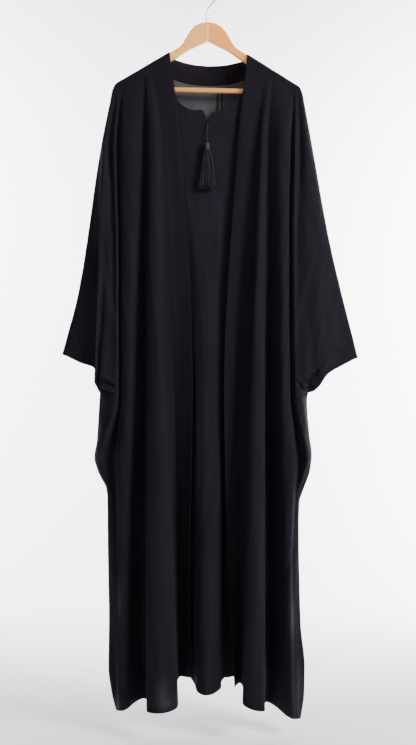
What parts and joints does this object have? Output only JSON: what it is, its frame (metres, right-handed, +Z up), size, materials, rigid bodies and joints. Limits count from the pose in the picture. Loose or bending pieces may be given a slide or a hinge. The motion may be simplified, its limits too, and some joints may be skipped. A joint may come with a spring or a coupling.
{
  "type": "butterfly abaya on a hanger",
  "caption": "Open-front butterfly abaya with batwing sleeves, neck band, inner front panel and tassel, hung on a wooden hanger by its wire hook.",
  "frame": {"origin": "inside top of the hanger's hook, where a rail carries it", "axes": "+Z up, -Y towards the front of the garment, +X to the right of the front view"},
  "size_m": [0.6716, 0.1832, 1.6784],
  "materials": {
    "outer_cloth": "thin matte black crepe with a soft sheen on the folds",
    "inner_cloth": "thin matte black crepe",
    "tassel_thread": "twisted black viscose thread with a slight shine",
    "loop_tape": "narrow black satin tape",
    "hanger_wood": "clear satin lacquer on pale beech",
    "hook_steel": "plated steel wire"
  },
  "bodies": {
    "root": {"outer_front_left": "outer_cloth", "outer_front_right": "outer_cloth", "outer_back": "outer_cloth", "back_band_left": "outer_cloth", "back_band_right": "outer_cloth", "front_band_left_upper": "outer_cloth", "front_band_left_lower": "outer_cloth", "front_band_right_upper": "outer_cloth", "front_band_right_lower": "outer_cloth", "inner_front": "inner_cloth", "hanging_loop": "loop_tape", "tassel": "tassel_thread", "tassel_cord": "tassel_thread", "hanger_arm_left": "hanger_wood", "hanger_arm_right": "hanger_wood", "hanger_bar": "hanger_wood", "hanger_hook": "hook_steel"}
  },
  "joints": []
}
